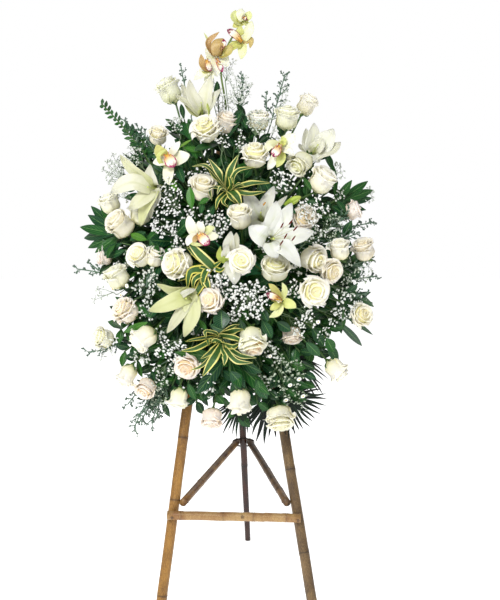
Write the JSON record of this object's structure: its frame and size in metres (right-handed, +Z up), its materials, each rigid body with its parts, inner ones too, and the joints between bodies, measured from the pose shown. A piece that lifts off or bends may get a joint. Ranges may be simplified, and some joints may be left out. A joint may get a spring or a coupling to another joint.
{
  "type": "standing funeral spray",
  "caption": "Cream roses, lilies, orchids and greenery standing in wet foam tied to a bamboo tripod easel.",
  "frame": {"origin": "middle of the part's footprint box on the floor", "axes": "+Z up, +Y from the flowers' face back to the rear leg, +X to the right of someone looking at the flowers"},
  "size_m": [0.7448, 0.7602, 1.4919],
  "materials": {
    "bamboo": "dry golden bamboo skin, satin",
    "dark_wood": "dark stained stick, matte",
    "steel": "plain wire nail",
    "wire": "annealed binding wire, dull",
    "tray_plastic": "green moulded plastic",
    "wet_foam": "wet floristry foam",
    "rose_petal": "soft cream petal",
    "lily_petal": "waxy white petal",
    "lily_anther": "brown pollen",
    "orchid_petal": "waxy green-cream petal",
    "orchid_lip": "magenta and yellow lip",
    "striped_leaf": "green leaf with yellow edges, satin",
    "leaf": "leathery dark green leaf, satin",
    "stem": "fresh green stem",
    "twig": "grey-green twig with buds",
    "palm_leaf": "dark green palm leaflet",
    "white_floret": "tiny white floret"
  },
  "bodies": {
    "root": {"front_leg_left": "bamboo", "front_leg_right": "bamboo", "crossbar": "bamboo", "brace_left": "bamboo", "brace_right": "bamboo", "back_leg": "dark_wood", "crossbar_nail_left": "steel", "crossbar_nail_right": "steel", "brace_nail_left": "steel", "brace_nail_right": "steel", "apex_binding": "wire", "brace_binding": "wire", "tray": "tray_plastic", "tie_upper": "tray_plastic", "tie_lower": "tray_plastic", "foam_upper": "wet_foam", "foam_lower": "wet_foam", "roses_top_left": "rose_petal", "roses_top": "rose_petal", "roses_top_right": "rose_petal", "roses_upper_right": "rose_petal", "roses_far_right": "rose_petal", "roses_right": "rose_petal", "roses_lower_right": "rose_petal", "roses_middle": "rose_petal", "roses_upper_left": "rose_petal", "roses_far_left": "rose_petal", "roses_left_of_middle": "rose_petal", "roses_lower_left": "rose_petal", "roses_low_left": "rose_petal", "roses_bottom": "rose_petal", "lily_top": "lily_petal", "lily_left": "lily_petal", "lily_middle_right": "lily_petal", "lily_top_right": "lily_petal", "lily_lower_left": "lily_petal", "lily_middle": "lily_petal", "orchid_spike": "orchid_petal", "orchid_left": "orchid_petal", "orchid_upper_right": "orchid_petal", "orchid_middle": "orchid_petal", "orchid_lower_right": "orchid_petal", "striped_leaves_top": "striped_leaf", "striped_leaves_middle": "striped_leaf", "striped_leaves_low": "striped_leaf", "dark_leaves_left": "leaf", "dark_leaves_right": "leaf", "broad_leaves_upper": "leaf", "broad_leaves_low": "leaf", "leafy_stems_top_left": "leaf", "bud_twigs_top": "twig", "bud_twigs_right": "twig", "bud_twigs_left": "twig", "palm_low_right": "palm_leaf", "palm_low_left": "palm_leaf", "palm_upper": "palm_leaf", "white_sprays_top": "white_floret", "white_sprays_left": "white_floret", "white_sprays_right": "white_floret", "white_sprays_low": "white_floret"}
  },
  "joints": []
}
